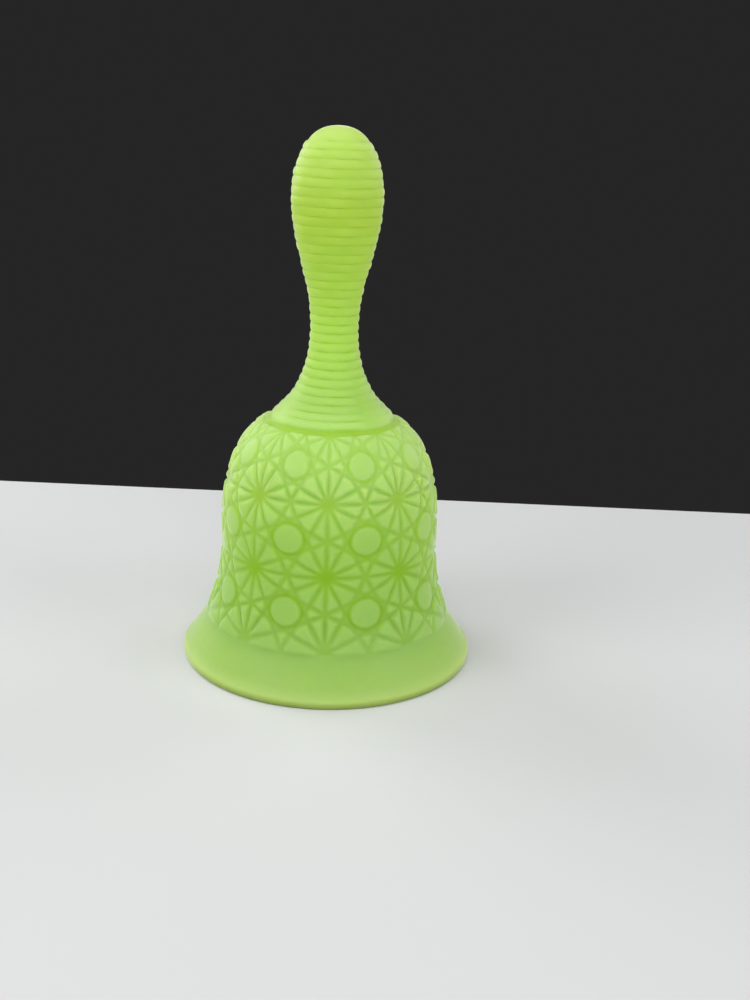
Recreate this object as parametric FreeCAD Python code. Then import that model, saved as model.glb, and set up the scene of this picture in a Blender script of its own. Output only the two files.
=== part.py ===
"""Glass hand bell with a chain-hung clapper, in millimetres.

The origin is the centre of the ring that the bell stands on, +Z runs up the handle, and -Y is the front.
Every sub-part is written to parts/ as its own STEP file, at rest, with the clapper hanging straight down.
"""

import FreeCAD, Part

import math
import os

# Glass: overall size and relief
TOTAL_HEIGHT = 150.0
RIM_RADIUS = 42.6
COLUMNS = 9  # daisies and buttons round the body
BUTTON_HEIGHTS = (23.0, 44.0, 63.5)  # the three rows of raised buttons
BUTTON_RADIUS = 4.3
BUTTON_BEVEL = 0.45
BUTTON_RISE = 0.15  # flat top above the body's own outline
BUTTON_ROOT = 2.0  # how far a button's disc reaches into the wall
RING_PITCH = 2.45  # along the handle's outline
RING_HEIGHT = 0.38

# Glass: lip
FOOT_INNER_RADIUS = 39.3  # the flat ring that the bell stands on
FOOT_OUTER_RADIUS = 42.0
LIP_TOP_RADIUS = 1.5
LIP_TOP_TURN = 50.0  # degrees, where the rounded lip runs into the skirt
LIP_INNER_ROUND = 1.1
LIP_INNER_TURN = 205.0  # degrees, where the hollow's wall runs into the foot's inner edge

# Glass: outline points, (radius, height)
BODY_POINTS = (
    (40.0, 5.2),
    (37.4, 9.4),
    (35.1, 14.8),
    (33.1, 21.5),
    (31.7, 30.0),
    (31.4, 40.0),
    (30.9, 49.0),
    (29.4, 56.0),
    (26.5, 63.2),
    (23.6, 67.1),
    (21.2, 69.3),
    (18.8, 70.6),
)
SHOULDER_DIRECTION = 155.0  # degrees above the radius, as are the directions below
COLLAR_GROOVE = ((18.3, 70.45), (17.6, 70.7))
HANDLE_DIRECTION = 128.0  # at its foot, and again below the dome
HANDLE_POINTS = (
    (17.3, 71.3),
    (12.8, 76.0),
    (10.0, 80.2),
    (7.9, 85.5),
    (6.65, 92.0),
    (6.5, 98.0),
    (7.5, 106.5),
    (9.4, 114.0),
    (11.3, 122.0),
    (12.3, 130.0),
    (12.1, 135.5),
    (10.8, 141.0),
    (8.2, 146.0),
)
DOME_FOOT_DIRECTION = 122.0
DOME_POINT = (4.6, 149.1)
HOLLOW_POINTS = (
    (36.0, 4.5),
    (33.7, 9.0),
    (31.5, 14.8),
    (29.5, 21.5),
    (28.2, 30.0),
    (27.6, 40.0),
    (26.9, 49.0),
    (25.3, 55.5),
    (21.6, 61.0),
    (16.0, 63.9),
)

# Crown of the hollow, where the clapper is hung
CROWN_HEIGHT = 65.0
CROWN_FLAT_RADIUS = 10.5
POCKET_RADIUS = 3.0
POCKET_TOP = 69.0

# Anchor
PLATE_RADIUS = 8.0
PLATE_THICKNESS = 0.5
PLATE_RIM_DEPTH = 1.6
PLATE_HOLE_RADIUS = 0.7
ANCHOR_WIRE_RADIUS = 0.6
ANCHOR_EYE_INNER_RADIUS = 1.5
ANCHOR_EYE_GAP = 0.1  # between the eye and the plate above it
ANCHOR_SHANK_TOP = 67.8
ANCHOR_HEAD_RADIUS = 1.3
ANCHOR_HEAD_THICKNESS = 0.6

# Chain
WIRE_RADIUS = 0.5
RING_INNER_RADIUS = 1.5
LINK_COUNT = 7
LINK_INNER_LENGTH = 4.2
LINK_INNER_WIDTH = 2.0
HANG_GAP = 0.05  # running clearance where one wire hangs on the next

# Clapper
CLAPPER_EYE_INNER_RADIUS = 1.2
BALL_RADIUS = 6.5
BALL_BORE_RADIUS = 0.52
CAP_THICKNESS = 0.4
CAP_HALF_ANGLE = 30.0  # degrees of the ball that a bead cap covers, from its pole
CAP_SEAT_GAP = 0.02
PEENED_RADIUS = 1.1
PEENED_HEIGHT = 0.7

UP = FreeCAD.Vector(0, 0, 1)
SIDE = FreeCAD.Vector(1, 0, 0)
FRONT_TO_BACK = FreeCAD.Vector(0, 1, 0)
ORIGIN = FreeCAD.Vector(0, 0, 0)


def at(radius, height):
    """A point of an outline in the XZ plane."""
    return FreeCAD.Vector(radius, 0, height)


def line(start, end):
    return Part.LineSegment(start, end).toShape()


def arc(start, middle, end):
    return Part.Arc(start, middle, end).toShape()


def smooth(points, start_direction, end_direction):
    """A smooth curve through the points, leaving and arriving in the given directions."""
    curve = Part.BSplineCurve()
    curve.interpolate(Points=list(points), InitialTangent=start_direction, FinalTangent=end_direction)
    return curve.toShape()


def turned(edges):
    """The solid of revolution about Z of a closed outline."""
    return Part.Face(Part.Wire(edges)).revolve(ORIGIN, UP, 360)


def on_circle(centre, radius, degrees):
    angle = math.radians(degrees)
    return centre + at(radius * math.cos(angle), radius * math.sin(angle))


def direction(degrees):
    angle = math.radians(degrees)
    return at(math.cos(angle), math.sin(angle))


# --- Glass ---


def lip_edges():
    """From the foot's outer edge, round the rim, to where the skirt begins."""
    under = RIM_RADIUS - FOOT_OUTER_RADIUS
    under_centre = at(FOOT_OUTER_RADIUS, under)
    top_centre = at(RIM_RADIUS - LIP_TOP_RADIUS, LIP_TOP_RADIUS)
    skirt_start = on_circle(top_centre, LIP_TOP_RADIUS, LIP_TOP_TURN)
    under_end = on_circle(under_centre, under, 0)
    top_start = on_circle(top_centre, LIP_TOP_RADIUS, 0)
    edges = [
        arc(at(FOOT_OUTER_RADIUS, 0), on_circle(under_centre, under, -90 / 2), under_end),
        line(under_end, top_start),
        arc(top_start, on_circle(top_centre, LIP_TOP_RADIUS, LIP_TOP_TURN / 2), skirt_start),
    ]
    return edges, skirt_start


def body_edge(skirt_start):
    points = [skirt_start] + [at(*point) for point in BODY_POINTS]
    return smooth(points, direction(LIP_TOP_TURN + 90), direction(SHOULDER_DIRECTION))


def collar_edges(shoulder_end, handle_start):
    """The shallow groove between the shoulder and the lowest ring of the handle."""
    lower, upper = (at(*point) for point in COLLAR_GROOVE)
    return [line(shoulder_end, lower), line(lower, upper), line(upper, handle_start)]


def handle_edges():
    """Rounded rings, one after another up the handle, and the plain dome on top."""
    points = [at(*point) for point in HANDLE_POINTS]
    core = smooth(points, direction(HANDLE_DIRECTION), direction(HANDLE_DIRECTION))
    ring_count = round(core.Length / RING_PITCH)
    valleys = core.discretize(Number=ring_count + 1)
    edges = []
    for low, high in zip(valleys, valleys[1:]):
        along = high - low
        outward = FreeCAD.Vector(along.z, 0, -along.x).normalize()
        edges.append(arc(low, (low + high) * 0.5 + outward * RING_HEIGHT, high))
    dome_points = [valleys[-1], at(*DOME_POINT), at(0, TOTAL_HEIGHT)]
    dome = smooth(dome_points, direction(DOME_FOOT_DIRECTION), direction(180))
    return edges + [dome]


def hollow_edges():
    """From the axis in the crown pocket, down the inside of the bell, to the foot."""
    pocket = [at(0, POCKET_TOP), at(POCKET_RADIUS, POCKET_TOP), at(POCKET_RADIUS, CROWN_HEIGHT)]
    crown = at(CROWN_FLAT_RADIUS, CROWN_HEIGHT)
    round_centre = at(FOOT_INNER_RADIUS, LIP_INNER_ROUND)
    wall_foot = on_circle(round_centre, LIP_INNER_ROUND, LIP_INNER_TURN)
    round_middle = on_circle(round_centre, LIP_INNER_ROUND, (LIP_INNER_TURN + 270) / 2)
    points = [crown] + [at(*point) for point in reversed(HOLLOW_POINTS)] + [wall_foot]
    return [
        line(pocket[0], pocket[1]),
        line(pocket[1], pocket[2]),
        line(pocket[2], crown),
        smooth(points, direction(0), direction(LIP_INNER_TURN + 90)),
        arc(wall_foot, round_middle, at(FOOT_INNER_RADIUS, 0)),
    ]


def glass_blank():
    """The pressed glass as a plain solid of revolution."""
    lip, skirt_start = lip_edges()
    body = body_edge(skirt_start)
    handle = handle_edges()
    shoulder_end = at(*BODY_POINTS[-1])
    collar = collar_edges(shoulder_end, at(*HANDLE_POINTS[0]))
    foot = line(at(FOOT_INNER_RADIUS, 0), at(FOOT_OUTER_RADIUS, 0))
    axis = line(at(0, TOTAL_HEIGHT), at(0, POCKET_TOP))
    outline = [foot] + lip + [body] + collar + handle + [axis] + hollow_edges()
    return turned(outline), body


def outline_point(edge, height):
    """The point of an outline at a height, and the outward normal there."""
    level = Part.LineSegment(at(0, height), at(RIM_RADIUS, height)).toShape()
    point = edge.distToShape(level)[1][0][0]
    along = edge.tangentAt(edge.Curve.parameter(point))
    return point, FreeCAD.Vector(along.z, 0, -along.x).normalize()


def button(body, height):
    """One flat round button with a bevelled edge, at azimuth 0."""
    point, outward = outline_point(body, height)
    root = point - outward * BUTTON_ROOT
    disc = Part.makeCylinder(BUTTON_RADIUS, BUTTON_ROOT + BUTTON_RISE, root, outward)
    top_edge = max(disc.Edges, key=lambda edge: edge.CenterOfMass.dot(outward))
    return disc.makeChamfer(BUTTON_BEVEL, [top_edge])


def glass_bell():
    """The pressed glass with its rows of buttons, each half a column away from the front."""
    blank, body = glass_blank()
    step = 360.0 / COLUMNS
    buttons = []
    for height in BUTTON_HEIGHTS:
        first = button(body, height)
        for column in range(COLUMNS):
            turned_copy = first.copy()
            turned_copy.rotate(ORIGIN, UP, -90 + (column + 0.5) * step)
            buttons.append(turned_copy)
    return blank.fuse(buttons)


# --- Wire pieces ---


def wire_ring(inner_radius, wire_radius, centre_height, axis):
    """A closed round ring, standing upright."""
    return Part.makeTorus(inner_radius + wire_radius, wire_radius, at(0, centre_height), axis)


def wire_link(top_height, across):
    """A closed oval link whose inside starts at a height. Its width lies along across."""
    bend = LINK_INNER_WIDTH / 2 + WIRE_RADIUS
    straight = LINK_INNER_LENGTH - LINK_INNER_WIDTH
    upper = at(0, top_height - LINK_INNER_WIDTH / 2)
    lower = upper - UP * straight
    turn_axis = across.cross(UP)
    legs = [Part.makeCylinder(WIRE_RADIUS, straight, lower + across * side, UP) for side in (-bend, bend)]
    circle = Part.Circle(upper + across * bend, UP, WIRE_RADIUS).toShape()
    top_bend = Part.Face(Part.Wire([circle])).revolve(upper, turn_axis, 180)
    bottom_bend = top_bend.mirror((upper + lower) * 0.5, UP)
    link = legs[0].fuse([legs[1], top_bend, bottom_bend]).removeSplitter()
    return link.Solids[0]


# --- Anchor ---


def anchor_eye_centre():
    outer_radius = ANCHOR_EYE_INNER_RADIUS + 2 * ANCHOR_WIRE_RADIUS
    return CROWN_HEIGHT - PLATE_THICKNESS - ANCHOR_EYE_GAP - outer_radius


def anchor_eye():
    """A wire eye in the XZ plane, on a shank with a head that the cement grips."""
    centre = anchor_eye_centre()
    eye = wire_ring(ANCHOR_EYE_INNER_RADIUS, ANCHOR_WIRE_RADIUS, centre, FRONT_TO_BACK)
    shank_foot = centre + ANCHOR_EYE_INNER_RADIUS + ANCHOR_WIRE_RADIUS
    shank = Part.makeCylinder(ANCHOR_WIRE_RADIUS, ANCHOR_SHANK_TOP - shank_foot, at(0, shank_foot), UP)
    head = Part.makeCylinder(ANCHOR_HEAD_RADIUS, ANCHOR_HEAD_THICKNESS, at(0, ANCHOR_SHANK_TOP), UP)
    return eye.fuse([shank, head]).removeSplitter().Solids[0]


def anchor_plate():
    """A stamped disc against the crown, with a turned-down rim and a hole for the shank."""
    top = CROWN_HEIGHT
    under = top - PLATE_THICKNESS
    rim_foot = top - PLATE_RIM_DEPTH
    rim_inner = PLATE_RADIUS - PLATE_THICKNESS
    corners = [
        at(PLATE_HOLE_RADIUS, top),
        at(rim_inner, top),
        at(PLATE_RADIUS, under),
        at(PLATE_RADIUS, rim_foot),
        at(rim_inner, rim_foot),
        at(rim_inner, under),
        at(PLATE_HOLE_RADIUS, under),
    ]
    return turned([line(a, b) for a, b in zip(corners, corners[1:] + corners[:1])])


def anchor_cement(eye):
    """The plug that fills the crown pocket round the shank and its head."""
    depth = POCKET_TOP - CROWN_HEIGHT
    plug = Part.makeCylinder(POCKET_RADIUS, depth, at(0, CROWN_HEIGHT), UP)
    return plug.cut(eye).Solids[0]


# --- Chain ---


def hung_from(wire_centre_height, wire_radius):
    """Height of the inside top of a piece that hangs on a wire."""
    return wire_centre_height + wire_radius + HANG_GAP


def chain(anchor_wire_height):
    """The rings and links from the top down, and the height of the lowest wire's centre."""
    pieces = {}
    top = hung_from(anchor_wire_height, ANCHOR_WIRE_RADIUS)
    pieces["top_ring"] = wire_ring(RING_INNER_RADIUS, WIRE_RADIUS, top - RING_INNER_RADIUS, SIDE)
    wire_height = top - 2 * RING_INNER_RADIUS - WIRE_RADIUS
    for number in range(1, LINK_COUNT + 1):
        across = SIDE if number % 2 else FRONT_TO_BACK
        top = hung_from(wire_height, WIRE_RADIUS)
        pieces[f"chain_link_{number}"] = wire_link(top, across)
        wire_height = top - LINK_INNER_LENGTH - WIRE_RADIUS
    top = hung_from(wire_height, WIRE_RADIUS)
    pieces["bottom_ring"] = wire_ring(RING_INNER_RADIUS, WIRE_RADIUS, top - RING_INNER_RADIUS, SIDE)
    return pieces, top - 2 * RING_INNER_RADIUS - WIRE_RADIUS


# --- Clapper ---


def bead_cap(ball_centre_height, pole):
    """A thin cap on the ball's upper (1) or lower (-1) pole, with a hole for the pin."""
    inner = BALL_RADIUS + CAP_SEAT_GAP
    outer = inner + CAP_THICKNESS
    centre = at(0, ball_centre_height)

    def point(radius, from_pole):
        return on_circle(centre, radius, pole * (90 - from_pole))

    hole_inner = math.degrees(math.asin(BALL_BORE_RADIUS / inner))
    hole_outer = math.degrees(math.asin(BALL_BORE_RADIUS / outer))
    middle = CAP_HALF_ANGLE / 2
    return turned(
        [
            arc(point(inner, hole_inner), point(inner, middle), point(inner, CAP_HALF_ANGLE)),
            line(point(inner, CAP_HALF_ANGLE), point(outer, CAP_HALF_ANGLE)),
            arc(point(outer, CAP_HALF_ANGLE), point(outer, middle), point(outer, hole_outer)),
            line(point(outer, hole_outer), point(inner, hole_inner)),
        ]
    )


def clapper(wire_height):
    """The eye pin, the drilled ball and its two bead caps, hung from the bottom ring."""
    eye_centre = hung_from(wire_height, WIRE_RADIUS) - CLAPPER_EYE_INNER_RADIUS
    eye_foot = eye_centre - CLAPPER_EYE_INNER_RADIUS - 2 * WIRE_RADIUS
    cap_height = BALL_RADIUS + CAP_SEAT_GAP + CAP_THICKNESS
    ball_centre = eye_foot - cap_height
    pin_foot = ball_centre - cap_height
    shank_top = eye_centre - CLAPPER_EYE_INNER_RADIUS - WIRE_RADIUS
    eye = wire_ring(CLAPPER_EYE_INNER_RADIUS, WIRE_RADIUS, eye_centre, FRONT_TO_BACK)
    shank = Part.makeCylinder(WIRE_RADIUS, shank_top - pin_foot, at(0, pin_foot), UP)
    peened = Part.makeCone(WIRE_RADIUS, PEENED_RADIUS, PEENED_HEIGHT, at(0, pin_foot - PEENED_HEIGHT), UP)
    ball = Part.makeSphere(BALL_RADIUS, at(0, ball_centre))
    bore = Part.makeCylinder(BALL_BORE_RADIUS, 2 * BALL_RADIUS, at(0, ball_centre - BALL_RADIUS), UP)
    return {
        "clapper_eye_pin": eye.fuse([shank, peened]).removeSplitter().Solids[0],
        "clapper_upper_cap": bead_cap(ball_centre, 1),
        "clapper_ball": ball.cut(bore).Solids[0],
        "clapper_lower_cap": bead_cap(ball_centre, -1),
    }


def all_parts():
    """Every sub-part by name, in the bell's frame."""
    eye = anchor_eye()
    parts = {
        "glass_bell": glass_bell(),
        "anchor_cement": anchor_cement(eye),
        "anchor_plate": anchor_plate(),
        "anchor_eye": eye,
    }
    anchor_wire = anchor_eye_centre() - ANCHOR_EYE_INNER_RADIUS - ANCHOR_WIRE_RADIUS
    hanging, lowest_wire = chain(anchor_wire)
    parts.update(hanging)
    parts.update(clapper(lowest_wire))
    return parts


def main():
    os.makedirs("parts", exist_ok=True)
    for name, shape in all_parts().items():
        (solid,) = shape.Solids
        solid.exportStep(f"parts/{name}.step")
        box = solid.optimalBoundingBox()
        print(
            f"{name}: valid {solid.isValid()}, volume {solid.Volume:.1f} mm3, "
            f"z {box.ZMin:.2f} to {box.ZMax:.2f}, width {box.XLength:.2f} x {box.YLength:.2f}"
        )


main()
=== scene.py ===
import math

import bpy
import numpy as np
from mathutils import Matrix, Vector


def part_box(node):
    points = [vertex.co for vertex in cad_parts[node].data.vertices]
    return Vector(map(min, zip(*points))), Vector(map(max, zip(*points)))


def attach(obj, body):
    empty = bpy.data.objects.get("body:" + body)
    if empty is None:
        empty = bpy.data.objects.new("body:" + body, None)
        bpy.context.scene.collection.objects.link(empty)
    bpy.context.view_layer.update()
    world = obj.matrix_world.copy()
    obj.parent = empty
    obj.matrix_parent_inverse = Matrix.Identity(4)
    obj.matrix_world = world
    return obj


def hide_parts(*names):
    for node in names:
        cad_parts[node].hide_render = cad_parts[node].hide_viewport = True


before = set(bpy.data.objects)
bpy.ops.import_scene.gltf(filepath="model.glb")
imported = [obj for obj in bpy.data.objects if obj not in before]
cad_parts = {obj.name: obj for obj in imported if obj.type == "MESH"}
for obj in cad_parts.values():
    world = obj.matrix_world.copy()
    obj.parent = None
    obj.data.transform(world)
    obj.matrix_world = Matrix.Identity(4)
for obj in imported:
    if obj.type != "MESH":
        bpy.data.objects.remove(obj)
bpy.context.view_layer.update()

MM = 0.001  # sizes below are in millimetres, and places in the setting in metres

# Overall size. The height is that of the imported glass.
TOTAL_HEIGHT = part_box("glass_bell")[1].z / MM
RIM_RADIUS = 42.6

# Glass outline, (radius, height), the same as the CAD glass's. Directions are in degrees from outward.
FOOT_INNER_RADIUS = 39.3
FOOT_OUTER_RADIUS = 42.0
LIP_TOP_RADIUS = 1.5
LIP_TOP_TURN = 50.0
LIP_INNER_ROUND = 1.1
LIP_INNER_TURN = 205.0
SHOULDER_DIRECTION = 155.0
HANDLE_DIRECTION = 128.0
DOME_FOOT_DIRECTION = 122.0
DOME_POINT = (4.6, 149.1)
BODY_POINTS = (
    (40.0, 5.2),
    (37.4, 9.4),
    (35.1, 14.8),
    (33.1, 21.5),
    (31.7, 30.0),
    (31.4, 40.0),
    (30.9, 49.0),
    (29.4, 56.0),
    (26.5, 63.2),
    (23.6, 67.1),
    (21.2, 69.3),
    (18.8, 70.6),
)
COLLAR_GROOVE = ((18.3, 70.45), (17.6, 70.7))
HANDLE_POINTS = (
    (17.3, 71.3),
    (12.8, 76.0),
    (10.0, 80.2),
    (7.9, 85.5),
    (6.65, 92.0),
    (6.5, 98.0),
    (7.5, 106.5),
    (9.4, 114.0),
    (11.3, 122.0),
    (12.3, 130.0),
    (12.1, 135.5),
    (10.8, 141.0),
    (8.2, 146.0),
)
HOLLOW_POINTS = (
    (36.0, 4.5),
    (33.7, 9.0),
    (31.5, 14.8),
    (29.5, 21.5),
    (28.2, 30.0),
    (27.6, 40.0),
    (26.9, 49.0),
    (25.3, 55.5),
    (21.6, 61.0),
    (16.0, 63.9),
)
CROWN_HEIGHT = 65.0
CROWN_FLAT_RADIUS = 10.5
POCKET_RADIUS = 3.0
POCKET_TOP = 69.0

# Mesh steps of the glass
OUTLINE_STEPS = 600
BODY_OUTLINE_STEPS = 3000
CELL_STEPS = 48  # along a pattern cell's side
ROWS_BELOW_PATTERN = 8  # rows as fine as the pattern's that run on below it
RIM_COLUMNS = 234  # round the skirt and rim
SKIRT_STEPS = 11
LIP_STEPS = 5
LIP_UNDER_STEPS = 4
HOLLOW_COLUMNS = 117
HOLLOW_STEPS = 29
HANDLE_COLUMNS = 99
DOME_STEPS = 9

# Pressed relief of the body: a lattice of square cells, with a daisy at each corner and a button in each
# middle. Depths are in millimetres. Places and widths are in cells, counted up from the lowest daisies.
COLUMNS = 9
ROWS = 3
PATTERN_FOOT = 13.5  # height in millimetres of the lowest daisies' centres, where the pattern stops
GROOVE_DEPTH = 0.76
GROOVE_HALF_WIDTH = 0.06
HUB_RISE = (0.02, 0.15)  # distances from a daisy's centre over which its petals rise out of the hub
HUB_RAISED = 0.15  # share of the petals' rise that the hub itself keeps
HUB_DEPTH = 0.25  # how much deeper a daisy's centre lies than the grooves
HUB_SPREAD = 0.2
LOWER_HUB_REACH = 0.2  # how far the painted shade spreads from a daisy's centre
UPPER_HUB_REACH = 0.11
UPPER_DAISIES = 1.5  # the upper daisies lie above this
BUTTON_TOP = 0.168
BUTTON_FOOT = 0.212
BUTTON_DOME = 0.2
OCTAGON_REACH = 0.5 / math.sqrt(5)  # from a button's centre to the grooves round it
OCTAGON_EDGE = 0.03  # half the width over which its painted shade starts

# Where the relief is pressed softer, in cells, and by what share of its depth
FOOT_SOFTNESS = 0.5
FOOT_END = (0.05, 0.4)
MIDDLE_SOFTNESS = 0.45
MIDDLE_START = (0.2, 0.7)
MIDDLE_END = (1.6, 2.1)
SHOULDER_SOFTNESS = 0.5
SHOULDER_START = (ROWS - 0.9, ROWS - 0.2)

# Groove under the collar, and the plain skirt
COLLAR_DEPTH = 0.45
COLLAR_START = (ROWS - 0.06, ROWS - 0.02)
SKIRT_DROP = 0.4  # the skirt's top lies this far below the petals
SKIRT_EDGE = 0.06  # width of the step from petals to skirt
SKIRT_FADE = (-0.32, -0.05)  # over which the skirt comes back up to the plain outline

# Painted shade in the glass's colour, from 0 on the petals to 1 in the octagons and the daisies' centres,
# darkening the pressed-in glass where shade falls in it. The skirt, lip and inside take an even share of
# the same tint
GROOVE_SHADE = 0.6
SHOULDER_SHADE_FADE = 0.45  # how much of the painted groove shade fades away towards the shoulder
SHOULDER_SHADE_FADE_START = (1.5, 2.5)
# painted shade in the groove under the collar
COLLAR_SHADE = 0.8
SKIRT_RICHNESS = 0.15

# Glass colours by height in millimetres, and what the most shaded glass multiplies them by. Besides the
# glass's own deeper colour where it is thick, they hold painted light: painted shade under the lip, a
# painted highlight on its rounded top and the skirt just above, and glass painted lighter towards the
# shoulder and the top of the dome, where the light falls from above
GLASS_COLOURS_AND_PAINTED_LIGHT = (
    # painted shade under the lip, over the deeper colour of its thick edge
    (0.2, (0.24, 0.36, 0.06)),
    (0.9, (0.34, 0.47, 0.11)),
    # painted highlight on the lip's rounded top
    (2.4, (0.44, 0.62, 0.2)),
    (5.0, (0.38, 0.58, 0.15)),
    (13.0, (0.32, 0.54, 0.125)),
    (35.0, (0.34, 0.58, 0.105)),
    # painted light: lighter on the shoulder, which faces up into the light
    (62.0, (0.43, 0.67, 0.175)),
    (70.0, (0.43, 0.67, 0.185)),
    (72.0, (0.45, 0.70, 0.19)),
    (76.0, (0.40, 0.64, 0.14)),
    (92.0, (0.44, 0.69, 0.11)),
    (128.0, (0.43, 0.63, 0.065)),
    # painted light: lighter on top of the dome, where the light falls
    (146.0, (0.47, 0.67, 0.14)),
)
# Painted shade: this tint darkens the grooves, octagons, daisy centres, collar groove and ring valleys; it
# also deepens the plain skirt, lip and inside evenly
SHADE_AND_SKIRT_TINT = (0.80, 0.89, 0.08, 1)

# Handle, in millimetres and degrees
RING_PITCH = 2.45
RING_HEIGHT = 0.34
RING_STEPS = (0.0, 0.1, 0.25, 0.5, 0.75, 0.9)  # shares of a ring's pitch, closer beside the valleys
RING_UNEVEN = 0.22  # how much a ring's height varies on its way round
RING_WAVES = ((2, 2.4, 0.7), (5, -1.7, 1.0), (11, 5.1, 0.6))  # waves round the bell, shift a ring, strength
WAVER_SCALE = 1.9  # brings the waves' sum to about -1 to 1
PATCHY_OFFSET = 7  # keeps the unevenness of the painted valley shade apart from that of the rings
FLARE_TOP = (75.0, 88.0)  # heights over which the flare becomes the neck
BULB_FOOT = (92.0, 110.0)  # heights over which the neck becomes the bulb
BULB_FULLNESS = 0.8  # how much flatter on top the bulb's rings are, with narrower valleys between them
BULB_UNEVEN = 0.4  # how much more uneven they are
BULB_SHALLOWNESS = 0.28  # how much lower they are
BULB_SHADE_FADE = 0.1  # how much lighter the painted shade in their valleys is
SEAMS = (38.0, 158.0, 278.0)  # azimuths of the mould's three joints
SEAM_SPACING = 120.0
SEAM_HEIGHT = 0.03
SEAM_HALF_WIDTH = 1.4
SEAM_MARGIN = 1.7  # half widths beside a seam that are kept clear of the even mesh columns
SEAM_FADE = (82.0, 96.0)  # heights over which the seams fade out
SEAM_SIDE_SHADE = 0.3  # painted shade that darkens the glass where the rings are pressed soft
SEAM_SOFTNESS = 0.1  # how much lower the rings are beside a seam
FLARE_SOFTNESS = 0.8  # and how much lower still on the flare
SOFT_AFTER = (14.0, 56.0)  # degrees past a seam over which the rings come back
SOFT_BEFORE = (104.0, 121.0)  # and over which they fade out towards the next seam

# Metal pieces, in millimetres and degrees
LINK_COUNT = sum(name.startswith("chain_link_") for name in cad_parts)
WIRE_SIDES = 20
LOOP_STEPS = 24  # along half a turn of a bent wire
JOINT_CHAMFER = 0.18  # share of the wire's radius
JOINT_STATIONS = (-0.5, -0.12, -0.05, 0.0, 0.05, 0.12, 0.5)  # heights from the joint
JOINT_REACH = 0.06  # how far from the joint the chamfer reaches
LEAST_STRAIGHT = 0.01  # a loop with less straight wire than this is a round ring
CAP_THICKNESS = 0.4
CAP_HALF_ANGLE = 30.0
CAP_HOLE_RADIUS = 0.52
CAP_PETALS = 8
CAP_SCALLOP = 0.1  # how far the edge draws in between petals
CAP_FLUTE = 0.14
CAP_FLUTE_START = (0.2, 0.6)  # shares of the way from hole to edge over which the flutes rise
CAP_STEPS = 14
CAP_SEGMENTS = 96
PLATE_THICKNESS = 0.5
PLATE_CORNER = 0.35
PLATE_HOLE_RADIUS = 0.7
PLATE_RIB_RADIUS = 5.0
PLATE_RIB_HALF_WIDTH = 0.9
PLATE_RIB_HEIGHT = 0.28
PLATE_EDGE = 0.1
PLATE_SEGMENTS = 96
PLATE_BEND_STEPS = 3
PLATE_CORNER_STEPS = 5
PLATE_RIB_STEPS = 8


# --- Outlines ---


def at(radius, height):
    return np.array([radius, height], float)


def direction(degrees):
    return at(math.cos(math.radians(degrees)), math.sin(math.radians(degrees)))


def arc(centre, radius, start, end, steps):
    """Points along a round stretch of outline, both ends included."""
    angles = np.radians(np.linspace(start, end, steps + 1))
    return np.stack([centre[0] + radius * np.cos(angles), centre[1] + radius * np.sin(angles)], axis=1)


def smooth(points, start_direction, end_direction, count=OUTLINE_STEPS):
    """A dense cubic spline through the points, leaving and arriving in the given directions."""
    points = np.array(points, float)
    knots = np.r_[0, np.cumsum(np.hypot(*np.diff(points, axis=0).T))]
    steps = np.diff(knots)
    slopes = np.diff(points, axis=0) / steps[:, None]
    n = len(points)
    matrix = np.zeros((n, n))
    right = np.zeros((n, 2))
    matrix[0, 0] = matrix[-1, -1] = 1
    right[0], right[-1] = start_direction, end_direction
    for i in range(1, n - 1):
        matrix[i, i - 1] = steps[i]
        matrix[i, i] = 2 * (steps[i - 1] + steps[i])
        matrix[i, i + 1] = steps[i - 1]
        right[i] = 3 * (steps[i] * slopes[i - 1] + steps[i - 1] * slopes[i])
    tangents = np.linalg.solve(matrix, right)
    where = np.linspace(0, knots[-1], count)
    span = np.clip(np.searchsorted(knots, where, side="right") - 1, 0, n - 2)
    t = ((where - knots[span]) / steps[span])[:, None]
    h = steps[span][:, None]
    return (
        (2 * t**3 - 3 * t**2 + 1) * points[span]
        + (t**3 - 2 * t**2 + t) * h * tangents[span]
        + (3 * t**2 - 2 * t**3) * points[span + 1]
        + (t**3 - t**2) * h * tangents[span + 1]
    )


def spaced(curve, places):
    """Points of a dense curve at these lengths along it."""
    lengths = np.r_[0, np.cumsum(np.hypot(*np.diff(curve, axis=0).T))]
    return np.stack([np.interp(places, lengths, curve[:, k]) for k in range(2)], axis=1)


def length_of(curve):
    return float(np.hypot(*np.diff(curve, axis=0).T).sum())


def length_at_height(curve, height):
    """Length along a curve, which climbs, where it passes a height."""
    lengths = np.r_[0, np.cumsum(np.hypot(*np.diff(curve, axis=0).T))]
    return float(np.interp(height, curve[:, 1], lengths))


def normals_of(points):
    """Unit normals of an outline that runs upwards, pointing away from the axis."""
    along = np.gradient(points, axis=0)
    outward = np.stack([along[:, 1], -along[:, 0]], axis=1)
    return outward / np.linalg.norm(outward, axis=1)[:, None]


# --- Relief ---


def smoothstep(low, high, x):
    t = np.clip((x - low) / (high - low), 0, 1)
    return t * t * (3 - 2 * t)


def to_integer(x):
    return np.abs(x - np.round(x))


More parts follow.
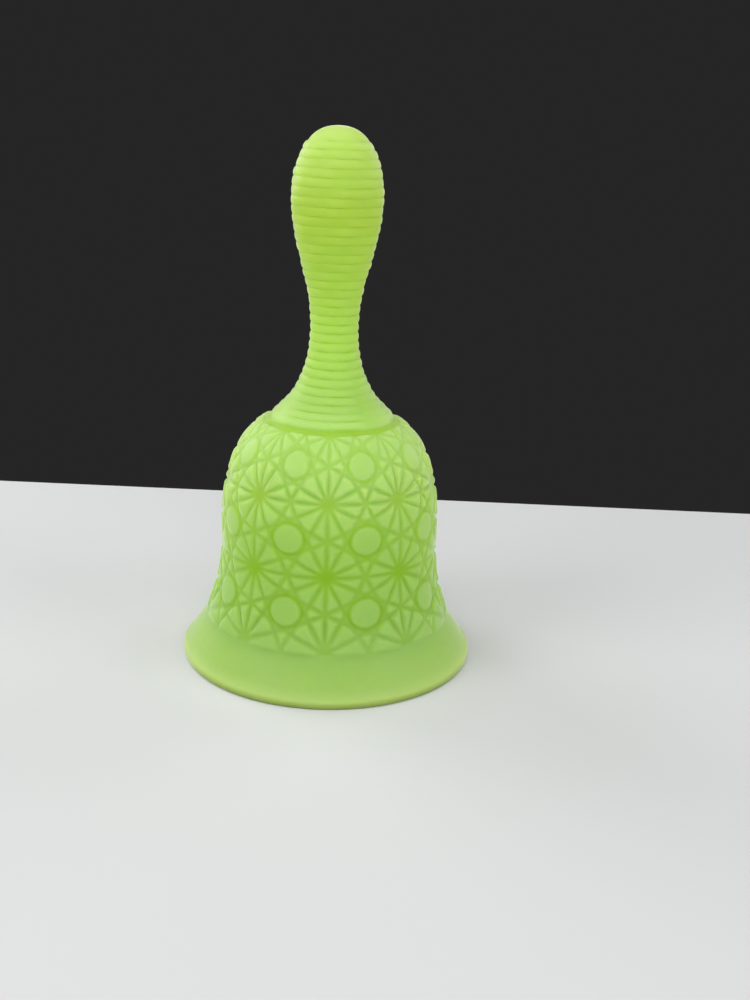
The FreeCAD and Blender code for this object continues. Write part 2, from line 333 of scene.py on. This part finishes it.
def relief(u, v):
    """Depth below the petals, and how much painted shade darkens the glass's colour from 0 to 1, in the
    pattern's own cells.

    u runs round the bell and v up it. Mitre grooves run along whole u, along whole v except at the top and
    foot, and at slopes of 2 and 1/2 through every daisy. That leaves twelve petals to a daisy, small kites
    between them and an octagon round each button.
    """
    slant = math.sqrt(5)
    grooves = [to_integer(u), np.where((v > 0.5) & (v < ROWS - 0.5), to_integer(v), 1.0)]
    grooves += [to_integer(t) / slant for t in (2 * v - u, 2 * v + u, 2 * u - v, 2 * u + v)]
    raised = np.ones_like(u)
    for distance in grooves:
        raised = raised * smoothstep(0, GROOVE_HALF_WIDTH, distance)
    du = u - np.floor(u) - 0.5
    dv = v - np.floor(v) - 0.5
    reach = np.max(np.abs([2 * dv - du, 2 * dv + du, 2 * du - dv, 2 * du + dv]), axis=0) / slant
    octagon = 1 - smoothstep(OCTAGON_REACH - OCTAGON_EDGE, OCTAGON_REACH + OCTAGON_EDGE, reach)
    raised = raised * (reach > OCTAGON_REACH)
    from_button = np.hypot(du, dv)
    button = 1 - smoothstep(BUTTON_TOP, BUTTON_FOOT, from_button)
    raised = np.maximum(raised, button)
    daisy = np.hypot(to_integer(u), to_integer(v))
    raised = raised * (HUB_RAISED + (1 - HUB_RAISED) * smoothstep(*HUB_RISE, daisy))
    sink = HUB_DEPTH * np.exp(-((daisy / HUB_SPREAD) ** 2))
    hub_reach = np.where(v > UPPER_DAISIES, UPPER_HUB_REACH, LOWER_HUB_REACH)
    hub = np.exp(-((daisy / hub_reach) ** 2))
    dome = BUTTON_DOME * button * (from_button / BUTTON_TOP) ** 2
    depth = GROOVE_DEPTH * (1 - raised) + sink + dome
    # painted shade in the pressed-in glass, deepest in the octagons and the daisies' centres
    painted_shade = (1 - raised) * (GROOVE_SHADE + (1 - GROOVE_SHADE) * np.maximum(octagon, hub))
    return depth, painted_shade


def body_depth(u, v):
    """Depth below the body's outline, and the share of its colour that painted shade and the skirt's even
    tint leave untouched, from 0 to 1, from the collar to the skirt.

    The relief is softer at its foot, half way up and on the shoulder. The groove under the collar ends it
    above, and the step down to the skirt ends it below.
    """
    depth, painted_shade = relief(u, np.maximum(v, 0))
    foot = 1 - FOOT_SOFTNESS * (1 - smoothstep(*FOOT_END, v))
    middle = 1 - MIDDLE_SOFTNESS * smoothstep(*MIDDLE_START, v) * (1 - smoothstep(*MIDDLE_END, v))
    depth = depth * foot * middle * (1 - SHOULDER_SOFTNESS * smoothstep(*SHOULDER_START, v))
    # painted shade, softer at the foot and fading towards the shoulder
    painted_shade = painted_shade * foot * (1 - SHOULDER_SHADE_FADE * smoothstep(*SHOULDER_SHADE_FADE_START, v))
    groove = smoothstep(*COLLAR_START, v)
    depth = depth + (COLLAR_DEPTH - depth) * groove
    # painted shade in the groove under the collar
    painted_shade = painted_shade + (COLLAR_SHADE - painted_shade) * groove
    skirt = 1 - smoothstep(-SKIRT_EDGE, 0, v)
    fade = smoothstep(*SKIRT_FADE, v)
    depth = depth * (1 - skirt) + SKIRT_DROP * fade * skirt
    # 1 less the painted shade, and less the skirt's even tint below the pattern
    return depth, 1 - painted_shade * (1 - skirt) - SKIRT_RICHNESS * skirt


# --- Mesh of revolution ---


def even(count):
    return np.arange(count) * 360.0 / count


def turned(azimuths, radii, heights):
    """Points round the axis. Azimuths are in degrees from the front, going round to the right."""
    angle = np.radians(azimuths)
    return np.stack([radii * np.sin(angle), -radii * np.cos(angle), heights + 0 * angle], axis=1)


class Rings:
    """Rings of points round the axis, joined one to the next into a closed skin."""

    def __init__(self):
        self.points = []
        self.raised = []
        self.faces = []
        self.total = 0
        self.last = None

    def add(self, azimuths, radii, heights, raised=1.0):
        """One more ring. All but the azimuths, in degrees, may be one number for the whole ring."""
        points = turned(azimuths, radii, heights)
        self.points.append(points)
        self.raised.append(np.broadcast_to(raised, len(points)))
        ring = (self.total, azimuths)
        self.total += len(points)
        if self.last is not None:
            self.join(self.last, ring)
        self.last = ring

    def pole(self, height):
        """A point on the axis, where the skin starts or closes."""
        self.add(np.zeros(1), 0, height)

    def join(self, upper, lower):
        """Faces between two rings, the first one nearer the skin's start."""
        (a, one), (b, two) = upper, lower
        n, m = len(one), len(two)
        if n == 1:
            self.faces += [(a, b + j, b + (j + 1) % m) for j in range(m)]
            return
        if m == 1:
            self.faces += [(a + i, b, a + (i + 1) % n) for i in range(n)]
            return
        if n == m:
            self.faces += [(a + i, b + i, b + (i + 1) % n, a + (i + 1) % n) for i in range(n)]
            return
        i = j = 0
        while i < n or j < m:
            next_one = one[i + 1] if i + 1 < n else one[0] + 360
            next_two = two[j + 1] if j + 1 < m else two[0] + 360
            if j >= m or (i < n and next_one <= next_two):
                self.faces.append((a + i % n, b + j % m, a + (i + 1) % n))
                i += 1
            else:
                self.faces.append((a + i % n, b + j % m, b + (j + 1) % m))
                j += 1

    def mesh(self, name):
        points = np.concatenate(self.points) * MM
        mesh = bpy.data.meshes.new(name)
        mesh.from_pydata(points.tolist(), [], self.faces)
        # raised carries the painted shade: 1 where the colour is left as it is, less in grooves and valleys
        raised = mesh.attributes.new("raised", "FLOAT", "POINT")
        raised.data.foreach_set("value", np.concatenate(self.raised).astype(np.float32))
        return mesh


def handle_azimuths():
    """Even steps, with a few more at each seam so that its fine ridge has a shape."""
    extra = [seam + SEAM_HALF_WIDTH * share for seam in SEAMS for share in (-1, -0.5, 0, 0.5, 1)]
    margin = SEAM_MARGIN * SEAM_HALF_WIDTH
    kept = [turn for turn in even(HANDLE_COLUMNS) if min(abs(turn - seam) for seam in SEAMS) > margin]
    return np.array(sorted(kept + extra))


def past_seam(azimuths):
    """Degrees since the last seam, going round to the right."""
    return (np.asarray(azimuths) - SEAMS[0]) % SEAM_SPACING


def seam_ridge(azimuths, height):
    """The fine ridge that each mould joint leaves on the flare. It is polished away further up."""
    offset = np.minimum(past_seam(azimuths), SEAM_SPACING - past_seam(azimuths))
    return SEAM_HEIGHT * (1 - smoothstep(0, SEAM_HALF_WIDTH, offset)) * (1 - smoothstep(*SEAM_FADE, height))


def waver(azimuths, number):
    """Unevenness round the bell, from about -1 to 1, different for each number."""
    angle = np.radians(azimuths)
    total = sum(strength * np.sin(times * angle + shift * number) for times, shift, strength in RING_WAVES)
    return total / WAVER_SCALE


def bulb_share(height):
    """0 up to the neck and 1 on the bulb."""
    return smoothstep(*BULB_FOOT, height)


def ring_strength(azimuths, height):
    """Share of their height that the rings keep: less on the bulb and beside a seam, least on the flare."""
    past = past_seam(azimuths)
    soft = 1 - smoothstep(*SOFT_AFTER, past) * (1 - smoothstep(*SOFT_BEFORE, past))
    flare = 1 - smoothstep(*FLARE_TOP, height)
    bulb = 1 - BULB_SHALLOWNESS * bulb_share(height)
    return (1 - soft * (SEAM_SOFTNESS + FLARE_SOFTNESS * flare)) * bulb


def add_handle(rings):
    """The plain dome, the rings below it and the seams, from the top down to the collar, with painted shade
    in the ring valleys and on the smooth glass beside the seams.
    """
    azimuths = handle_azimuths()
    core = smooth(HANDLE_POINTS, direction(HANDLE_DIRECTION), direction(HANDLE_DIRECTION))
    ring_count = round(length_of(core) / RING_PITCH)
    dome = smooth([core[-1], DOME_POINT, (0, TOTAL_HEIGHT)], direction(DOME_FOOT_DIRECTION), direction(180))
    rings.pole(TOTAL_HEIGHT)
    for point in spaced(dome, np.linspace(length_of(dome), 0, DOME_STEPS + 1))[1:-1]:
        rings.add(azimuths, *point)
    pitches = [number + share for number in range(ring_count) for share in RING_STEPS] + [ring_count]
    pitches = np.array(pitches[::-1], float)
    points = spaced(core, pitches * length_of(core) / ring_count)
    outward = -normals_of(points)
    for point, normal, pitch in zip(points, outward, pitches):
        number, share = divmod(pitch, 1)
        bulb = bulb_share(point[1])
        uneven = RING_UNEVEN + BULB_UNEVEN * bulb
        strength = ring_strength(azimuths, point[1]) * (1 + uneven * waver(azimuths, number))
        crest = 1 - abs(2 * share - 1) ** (2 + BULB_FULLNESS * bulb)
        bulge = RING_HEIGHT * crest * strength + seam_ridge(azimuths, point[1])
        patchy = 0.5 + 0.5 * waver(azimuths, number + PATCHY_OFFSET)
        # painted shade in the ring valleys, uneven round the bell
        valley_shade = (1 - crest) ** 3 * strength * patchy * (1 - BULB_SHADE_FADE * bulb)
        # and painted shade on the smooth glass where the rings are pressed soft
        painted_shade = np.maximum(valley_shade, SEAM_SIDE_SHADE * (1 - strength))
        rings.add(azimuths, point[0] + normal[0] * bulge, point[1] + normal[1] * bulge, 1 - painted_shade)


def body_curve():
    top_centre = at(RIM_RADIUS - LIP_TOP_RADIUS, LIP_TOP_RADIUS)
    skirt_start = arc(top_centre, LIP_TOP_RADIUS, LIP_TOP_TURN, LIP_TOP_TURN, 0)[0]
    start_direction, end_direction = direction(LIP_TOP_TURN + 90), direction(SHOULDER_DIRECTION)
    return smooth([skirt_start, *BODY_POINTS], start_direction, end_direction, BODY_OUTLINE_STEPS)


def add_body(rings):
    """The collar groove, the pressed lattice and the plain skirt below it."""
    curve = body_curve()
    foot = length_at_height(curve, PATTERN_FOOT)
    cell = (length_of(curve) - foot) / ROWS
    azimuths = even(COLUMNS * CELL_STEPS)
    u = azimuths * COLUMNS / 360.0
    # painted shade in the groove under the collar
    for radius, height in reversed(COLLAR_GROOVE):
        rings.add(azimuths, radius, height, 1 - COLLAR_SHADE)
    rows = np.arange(ROWS * CELL_STEPS, -ROWS_BELOW_PATTERN, -1) / CELL_STEPS
    points = spaced(curve, foot + rows * cell)
    outward = -normals_of(points)
    for point, normal, v in zip(points, outward, rows):
        # raised here is the colour share that painted shade leaves untouched
        depth, raised = body_depth(u, np.full_like(u, v))
        rings.add(azimuths, point[0] - normal[0] * depth, point[1] - normal[1] * depth, raised)
    azimuths = even(RIM_COLUMNS)
    lowest = foot + rows[-1] * cell
    places = np.linspace(lowest, 0, SKIRT_STEPS + 1)[1:]
    points = spaced(curve, places)
    outward = -normals_of(points)
    for point, normal, place in zip(points, outward, places):
        depth, _ = body_depth(np.zeros(1), np.array([(place - foot) / cell]))
        rings.add(azimuths, point[0] - normal[0] * depth, point[1] - normal[1] * depth, 1 - SKIRT_RICHNESS)


def add_lip_and_hollow(rings):
    """Round the rim, across the foot and up the smooth inside to the crown pocket."""
    azimuths = even(RIM_COLUMNS)
    raised = 1 - SKIRT_RICHNESS
    under = RIM_RADIUS - FOOT_OUTER_RADIUS
    top_centre = at(RIM_RADIUS - LIP_TOP_RADIUS, LIP_TOP_RADIUS)
    for point in arc(top_centre, LIP_TOP_RADIUS, LIP_TOP_TURN, 0, LIP_STEPS)[1:]:
        rings.add(azimuths, *point, raised)
    for point in arc(at(FOOT_OUTER_RADIUS, under), under, 0, -90, LIP_UNDER_STEPS):
        rings.add(azimuths, *point, raised)
    inner_centre = at(FOOT_INNER_RADIUS, LIP_INNER_ROUND)
    inner_round = arc(inner_centre, LIP_INNER_ROUND, 270, LIP_INNER_TURN, LIP_STEPS)
    for point in inner_round:
        rings.add(azimuths, *point, raised)
    hollow_points = [inner_round[-1], *HOLLOW_POINTS, at(CROWN_FLAT_RADIUS, CROWN_HEIGHT)]
    hollow = smooth(hollow_points, direction(LIP_INNER_TURN - 90), direction(180))
    azimuths = even(HOLLOW_COLUMNS)
    for point in spaced(hollow, np.linspace(0, length_of(hollow), HOLLOW_STEPS + 1))[1:]:
        rings.add(azimuths, *point, raised)
    for height in (CROWN_HEIGHT, POCKET_TOP):
        rings.add(azimuths, POCKET_RADIUS, height, raised)
    rings.pole(POCKET_TOP)


def glass_shell():
    """The whole pressed glass as one closed skin."""
    rings = Rings()
    add_handle(rings)
    add_body(rings)
    add_lip_and_hollow(rings)
    mesh = rings.mesh("glass_shell")
    shell = bpy.data.objects.new("glass_shell", mesh)
    bpy.context.scene.collection.objects.link(shell)
    mesh.polygons.foreach_set("use_smooth", [True] * len(mesh.polygons))
    mesh.update()
    return shell


# --- Materials ---


def new_material(name):
    material = bpy.data.materials.new(name)
    material.use_nodes = True
    tree = material.node_tree
    return material, tree, tree.nodes["Principled BSDF"]


def colour_mix(tree, blend, share, first, second):
    """A mix of two colours. Each argument is a socket or a plain value."""
    mix = tree.nodes.new("ShaderNodeMix")
    mix.data_type = "RGBA"
    mix.blend_type = blend
    sockets = (mix.inputs["Factor"], mix.inputs["A"], mix.inputs["B"])
    for socket, value in zip(sockets, (share, first, second)):
        if isinstance(value, bpy.types.NodeSocket):
            tree.links.new(value, socket)
        else:
            socket.default_value = value
    return mix.outputs["Result"]


def noise(tree, scale, detail=2.0):
    """Noise with its grain given in grains per metre."""
    place = tree.nodes.new("ShaderNodeTexCoord")
    texture = tree.nodes.new("ShaderNodeTexNoise")
    texture.inputs["Scale"].default_value = scale
    texture.inputs["Detail"].default_value = detail
    tree.links.new(place.outputs["Object"], texture.inputs["Vector"])
    return texture.outputs["Fac"]


def mapped(tree, value, low, high, to_low, to_high):
    change = tree.nodes.new("ShaderNodeMapRange")
    change.inputs["From Min"].default_value = low
    change.inputs["From Max"].default_value = high
    change.inputs["To Min"].default_value = to_low
    change.inputs["To Max"].default_value = to_high
    tree.links.new(value, change.inputs["Value"])
    return change.outputs["Result"]


def height_colours(tree, stops):
    """A colour that changes with height. Each stop is a height in millimetres and a colour."""
    place = tree.nodes.new("ShaderNodeTexCoord")
    parts = tree.nodes.new("ShaderNodeSeparateXYZ")
    tree.links.new(place.outputs["Object"], parts.inputs["Vector"])
    share = mapped(tree, parts.outputs["Z"], 0, TOTAL_HEIGHT * MM, 0, 1)
    ramp = tree.nodes.new("ShaderNodeValToRGB")
    tree.links.new(share, ramp.inputs["Fac"])
    elements = ramp.color_ramp.elements
    while len(elements) < len(stops):
        elements.new(0.5)
    for element, (height, colour) in zip(elements, stops):
        element.position = height / TOTAL_HEIGHT
        element.color = (*colour, 1)
    return ramp.outputs["Color"]


def glass_material():
    """Satin lime glass: light scatters inside it. Painted shade darkens its colour where it is pressed in
    and in the ring valleys, and its colour by height holds painted light.
    """
    material, tree, shader = new_material("satin_glass")
    # colour by height, with painted light in it
    by_height = height_colours(tree, GLASS_COLOURS_AND_PAINTED_LIGHT)
    raised = tree.nodes.new("ShaderNodeAttribute")
    raised.attribute_name = "raised"
    recess_shade = mapped(tree, raised.outputs["Fac"], 0, 1, 1, 0)
    # painted shade: the recess share multiplies the colour by the shade tint
    pressed = colour_mix(tree, "MULTIPLY", recess_shade, by_height, SHADE_AND_SKIRT_TINT)
    cloud = mapped(tree, noise(tree, 90, 3), 0.3, 0.7, 0, 0.5)
    colour = colour_mix(tree, "MULTIPLY", cloud, pressed, (0.93, 0.96, 0.8, 1))
    tree.links.new(colour, shader.inputs["Base Color"])
    bump = tree.nodes.new("ShaderNodeBump")
    bump.inputs["Strength"].default_value = 0.35
    bump.inputs["Distance"].default_value = 0.00004
    tree.links.new(noise(tree, 2600, 3), bump.inputs["Height"])
    tree.links.new(bump.outputs["Normal"], shader.inputs["Normal"])
    roughness = mapped(tree, noise(tree, 400, 2), 0.3, 0.7, 0.45, 0.55)
    tree.links.new(roughness, shader.inputs["Roughness"])
    shader.inputs["Subsurface Weight"].default_value = 1.0
    shader.inputs["Subsurface Radius"].default_value = (1.0, 1.2, 0.4)
    shader.inputs["Subsurface Scale"].default_value = 0.007
    shader.inputs["Specular IOR Level"].default_value = 0.25
    shader.inputs["IOR"].default_value = 1.5
    shader.inputs["Sheen Weight"].default_value = 1.0
    shader.inputs["Sheen Roughness"].default_value = 0.3
    shader.inputs["Sheen Tint"].default_value = (0.85, 1.0, 0.72, 1)
    return material


def plain_material(name, colour, roughness):
    material, _, shader = new_material(name)
    shader.inputs["Base Color"].default_value = (*colour, 1)
    shader.inputs["Roughness"].default_value = roughness
    return material


def brass_material(name, colour, tarnish, roughness, grain, scratches):
    """Brass with brown tarnish, duller where it has tarnished, and fine marks from its making.

    grain is the number of marks per metre along X, Y and Z, so that they can be drawn out one way.
    """
    material, tree, shader = new_material(name)
    patches = mapped(tree, noise(tree, 350, 4), 0.42, 0.72, 0, 1)
    spots = mapped(tree, noise(tree, 1400, 3), 0.55, 0.75, 0, 0.6)
    worn = colour_mix(tree, "MIX", patches, (*colour, 1), (*tarnish, 1))
    spotted = colour_mix(tree, "MULTIPLY", spots, worn, (0.6, 0.5, 0.4, 1))
    tree.links.new(spotted, shader.inputs["Base Color"])
    shader.inputs["Metallic"].default_value = 1.0
    tree.links.new(mapped(tree, patches, 0, 1, roughness, roughness + 0.2), shader.inputs["Roughness"])
    place = tree.nodes.new("ShaderNodeTexCoord")
    stretch = tree.nodes.new("ShaderNodeMapping")
    stretch.inputs["Scale"].default_value = grain
    marks = tree.nodes.new("ShaderNodeTexNoise")
    marks.inputs["Scale"].default_value = 1.0
    marks.inputs["Detail"].default_value = 3.0
    tree.links.new(place.outputs["Object"], stretch.inputs["Vector"])
    tree.links.new(stretch.outputs["Vector"], marks.inputs["Vector"])
    bump = tree.nodes.new("ShaderNodeBump")
    bump.inputs["Strength"].default_value = scratches
    bump.inputs["Distance"].default_value = 0.00003
    tree.links.new(marks.outputs["Fac"], bump.inputs["Height"])
    tree.links.new(bump.outputs["Normal"], shader.inputs["Normal"])
    return material


def cement_material():
    """Off-white gritty cement with pores."""
    material, tree, shader = new_material("cement")
    grit = mapped(tree, noise(tree, 3000, 4), 0.35, 0.65, 0, 1)
    colour = colour_mix(tree, "MIX", grit, (0.62, 0.58, 0.5, 1), (0.8, 0.78, 0.71, 1))
    tree.links.new(colour, shader.inputs["Base Color"])
    tree.links.new(mapped(tree, grit, 0, 1, 0.95, 0.8), shader.inputs["Roughness"])
    bump = tree.nodes.new("ShaderNodeBump")
    bump.inputs["Strength"].default_value = 0.6
    bump.inputs["Distance"].default_value = 0.0001
    tree.links.new(grit, bump.inputs["Height"])
    tree.links.new(bump.outputs["Normal"], shader.inputs["Normal"])
    return material


# --- Metal pieces ---


def mesh_piece(name, points, faces, material, body, node):
    """A piece that stands for a CAD node, from points in millimetres."""
    mesh = bpy.data.meshes.new(name)
    mesh.from_pydata((np.array(points) * MM).tolist(), [], faces)
    mesh.polygons.foreach_set("use_smooth", [True] * len(mesh.polygons))
    mesh.materials.append(material)
    mesh.update()
    piece = bpy.data.objects.new(name, mesh)
    bpy.context.scene.collection.objects.link(piece)
    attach(piece, body)
    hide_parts(node)
    return piece


def box_mm(node):
    low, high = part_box(node)
    return np.array(low) / MM, np.array(high) / MM


def tube_loop(path, outward, sideways, radii):
    """Points and faces of a round wire round a closed path, one ring of points at each path point."""
    turns = np.radians(np.arange(WIRE_SIDES) * 360 / WIRE_SIDES)
    circle = np.cos(turns)[None, :, None] * outward[:, None, :] + np.sin(turns)[None, :, None] * sideways
    points = path[:, None, :] + radii[:, None, None] * circle
    count = len(path)
    faces = []
    for i in range(count):
        for j in range(WIRE_SIDES):
            a, b = i * WIRE_SIDES + j, i * WIRE_SIDES + (j + 1) % WIRE_SIDES
            c, d = (i + 1) % count * WIRE_SIDES + j, (i + 1) % count * WIRE_SIDES + (j + 1) % WIRE_SIDES
            faces.append((a, b, d, c))
    return points.reshape(-1, 3), faces


def wire_loop(node, body, material):
    """A bent wire ring or link. Its two cut ends meet half way up one side, in a chamfered butt joint."""
    low, high = box_mm(node)
    size, centre = high - low, (low + high) / 2
    thin = 0 if size[0] < size[1] else 1
    wide = 1 - thin
    radius = size[thin] / 2
    bend = (size[wide] - size[thin]) / 2
    straight = size[2] - size[wide]
    side = np.zeros(3)
    side[wide] = 1
    upright = np.array([0, 0, 1.0])
    depth = np.cross(upright, side)
    angles = np.radians(np.linspace(0, 180, LOOP_STEPS + 1))
    over = [math.cos(angle) * side + math.sin(angle) * upright for angle in angles]
    if straight > LEAST_STRAIGHT:
        under = [-outward for outward in over]
        rises = [straight / 2] * len(over) + [-straight / 2] * len(under) + list(JOINT_STATIONS)
        outward = np.array(over + under + [side] * len(JOINT_STATIONS))
        chamfer = np.array([0] * len(over + under) + [abs(rise) < JOINT_REACH for rise in JOINT_STATIONS])
    else:
        under = [-outward for outward in over[1:-1]]
        rises = [0.0] * len(over + under)
        outward = np.array(over + under)
        chamfer = np.array([1] + [0] * (len(over + under) - 1))
    path = centre + outward * bend + np.array(rises)[:, None] * upright
    points, faces = tube_loop(path, outward, depth, radius * (1 - JOINT_CHAMFER * chamfer))
    return mesh_piece(f"{node}_wire", points, faces, material, body, node)


def turned_piece(name, outline, segments, shape, material, body, node):
    """A closed outline turned about the axis. shape(azimuths, index) gives a ring's radii and heights."""
    azimuths = even(segments)
    points = [turned(azimuths, *shape(azimuths, index)) for index in range(len(outline))]
    count = len(outline)
    faces = []
    for i in range(count):
        for j in range(segments):
            a, b = i * segments + j, i * segments + (j + 1) % segments
            c, d = (i + 1) % count * segments + j, (i + 1) % count * segments + (j + 1) % segments
            faces.append((a, b, d, c))
    return mesh_piece(name, np.concatenate(points), faces, material, body, node)


def bead_cap(node, pole, material):
    """A thin stamped cap that hugs the ball, fluted between petals that end in a scalloped edge."""
    ball_low, ball_high = box_mm("clapper_ball")
    cap_low, cap_high = box_mm(node)
    centre = (ball_low[2] + ball_high[2]) / 2
    inner = (cap_high[0] - cap_low[0]) / 2 / math.sin(math.radians(CAP_HALF_ANGLE)) - CAP_THICKNESS
    hole = math.degrees(math.asin(CAP_HOLE_RADIUS / inner))
    shares = np.linspace(0, 1, CAP_STEPS + 1)
    outline = [(share, 0.0) for share in shares] + [(share, 1.0) for share in shares[::-1]]
    outline = outline[::pole]

    def shape(azimuths, index):
        share, face = outline[index]
        petal = 0.5 + 0.5 * np.cos(np.radians(azimuths * CAP_PETALS))
        edge = CAP_HALF_ANGLE * (1 - CAP_SCALLOP * (1 - petal) ** 2)
        from_pole = np.radians(hole + (edge - hole) * share)
        flute = CAP_FLUTE * petal * smoothstep(*CAP_FLUTE_START, share)
        radius = inner + face * (CAP_THICKNESS - CAP_FLUTE + flute)
        return radius * np.sin(from_pole), centre + pole * radius * np.cos(from_pole)

    name = f"{node}_stamping"
    return turned_piece(name, outline, CAP_SEGMENTS, shape, material, "clapper", node)


def anchor_plate(material):
    """The stamped disc against the crown, with a turned-down rim and a pressed ring round its hole."""
    node = "anchor_plate"
    low, high = box_mm(node)
    radius, top, foot = high[0], high[2], low[2]
    under = top - PLATE_THICKNESS
    inner = radius - PLATE_THICKNESS
    bend = PLATE_CORNER / 2
    inner_round = arc(at(inner - bend, under - bend), bend, 90, 0, PLATE_BEND_STEPS)
    outer_centre = at(radius - PLATE_CORNER, top - PLATE_CORNER)
    outer_round = arc(outer_centre, PLATE_CORNER, 0, 90, PLATE_CORNER_STEPS)
    across = np.linspace(-1, 1, PLATE_RIB_STEPS + 1)
    rib_radii = PLATE_RIB_RADIUS + PLATE_RIB_HALF_WIDTH * across
    rib_heights = under - PLATE_RIB_HEIGHT * (1 - across * across) ** 2
    outline = [at(PLATE_HOLE_RADIUS, top), at(PLATE_HOLE_RADIUS, under)]
    outline += [*np.stack([rib_radii, rib_heights], axis=1), *inner_round]
    outline += [at(inner, foot + PLATE_EDGE), at(inner + PLATE_EDGE, foot)]
    outline += [at(radius - PLATE_EDGE, foot), at(radius, foot + PLATE_EDGE), *outer_round]

    def shape(_, index):
        return outline[index]

    name = f"{node}_stamping"
    return turned_piece(name, outline, PLATE_SEGMENTS, shape, material, "bell", node)


# --- Setting ---


def add_camera():
    """The camera: a little above the bell, looking down at it, and slightly tilted."""
    distance, height, azimuth = 332.25 * MM, 154.8 * MM, math.radians(1.04)
    pitch, yaw, roll = 0.3161, 0.03929, 0.03678  # radians: down, to the right and anticlockwise
    forward = Vector((math.sin(yaw) * math.cos(pitch), math.cos(yaw) * math.cos(pitch), -math.sin(pitch)))
    level = Vector((math.cos(yaw), -math.sin(yaw), 0))
    upright = level.cross(forward)
    right = level * math.cos(roll) + upright * math.sin(roll)
    up = upright * math.cos(roll) - level * math.sin(roll)
    turn = Matrix.Rotation(azimuth, 4, "Z")
    pose = Matrix((right, up, -forward)).transposed().to_4x4()
    pose.translation = Vector((0, -distance, height))
    camera = bpy.data.objects.new("camera", bpy.data.cameras.new("camera"))
    camera.data.lens = 43.2
    camera.data.sensor_width = 36.0
    camera.data.clip_start = 0.01
    camera.matrix_world = turn @ pose
    bpy.context.scene.collection.objects.link(camera)
    bpy.context.scene.camera = camera


def add_floor():
    """A pale sheet on the table. Its back edge runs close behind the bell, slightly askew."""
    side, front, back, slant = 2.5, -2.5, 0.1453, 0.0458
    left_back, right_back = back + slant * side, back - slant * side
    corners = [(-side, front, 0), (side, front, 0), (side, right_back, 0), (-side, left_back, 0)]
    mesh = bpy.data.meshes.new("floor")
    mesh.from_pydata(corners, [], [(0, 1, 2, 3)])
    floor = bpy.data.objects.new("floor", mesh)
    bpy.context.scene.collection.objects.link(floor)
    mesh.materials.append(plain_material("floor_paper", (0.69, 0.695, 0.7), 0.8))


def add_light(name, place, size, power):
    light = bpy.data.lights.new(name, "AREA")
    light.shape = "DISK"
    light.size = size
    light.energy = power
    lamp = bpy.data.objects.new(name, light)
    lamp.location = place
    lamp.visible_camera = False
    target = Vector((0, 0, 0.07))
    lamp.rotation_euler = (target - Vector(place)).to_track_quat("-Z", "Y").to_euler()
    bpy.context.scene.collection.objects.link(lamp)


def add_world():
    world = bpy.data.worlds.new("studio")
    world.use_nodes = True
    world.node_tree.nodes["Background"].inputs["Color"].default_value = (0.02, 0.019, 0.02, 1)
    bpy.context.scene.world = world
    bpy.context.scene.view_settings.view_transform = "Standard"


shell = glass_shell()
shell.data.materials.append(glass_material())
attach(shell, "bell")
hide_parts("glass_bell")

brown, light_brown = (0.42, 0.27, 0.11), (0.5, 0.33, 0.14)
wire_brass = brass_material("drawn_wire_brass", (0.83, 0.6, 0.26), brown, 0.24, (9000, 9000, 900), 0.25)
sheet_brass = brass_material("stamped_brass", (0.78, 0.57, 0.25), brown, 0.32, (2500, 2500, 2500), 0.35)
ball_brass = brass_material("turned_brass", (0.86, 0.64, 0.29), light_brown, 0.16, (150, 150, 14000), 0.3)
keep_nodes = {
    "anchor_cement": cement_material(),
    "anchor_eye": wire_brass,
    "clapper_eye_pin": wire_brass,
    "clapper_ball": ball_brass,
}
for name, material in keep_nodes.items():
    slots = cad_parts[name].data.materials
    slots.clear()
    slots.append(material)

wire_loop("top_ring", "top_ring", wire_brass)
for number in range(1, LINK_COUNT + 1):
    wire_loop(f"chain_link_{number}", f"link_{number}", wire_brass)
wire_loop("bottom_ring", "bottom_ring", wire_brass)
bead_cap("clapper_upper_cap", 1, sheet_brass)
bead_cap("clapper_lower_cap", -1, sheet_brass)
anchor_plate(sheet_brass)

add_camera()
add_floor()
add_light("top_softbox", (-0.12, -0.1, 0.8), 0.9, 4.0)
add_light("left_fill", (-0.7, -0.45, 0.45), 0.6, 3.0)
add_light("right_fill", (0.75, -0.35, 0.35), 0.6, 2.7)
add_light("front_fill", (0.1, -0.9, 0.35), 0.6, 2.5)
add_light("left_rim", (-0.55, 0.45, 0.35), 0.5, 2.2)
add_light("right_rim", (0.55, 0.45, 0.35), 0.5, 1.2)
add_world()
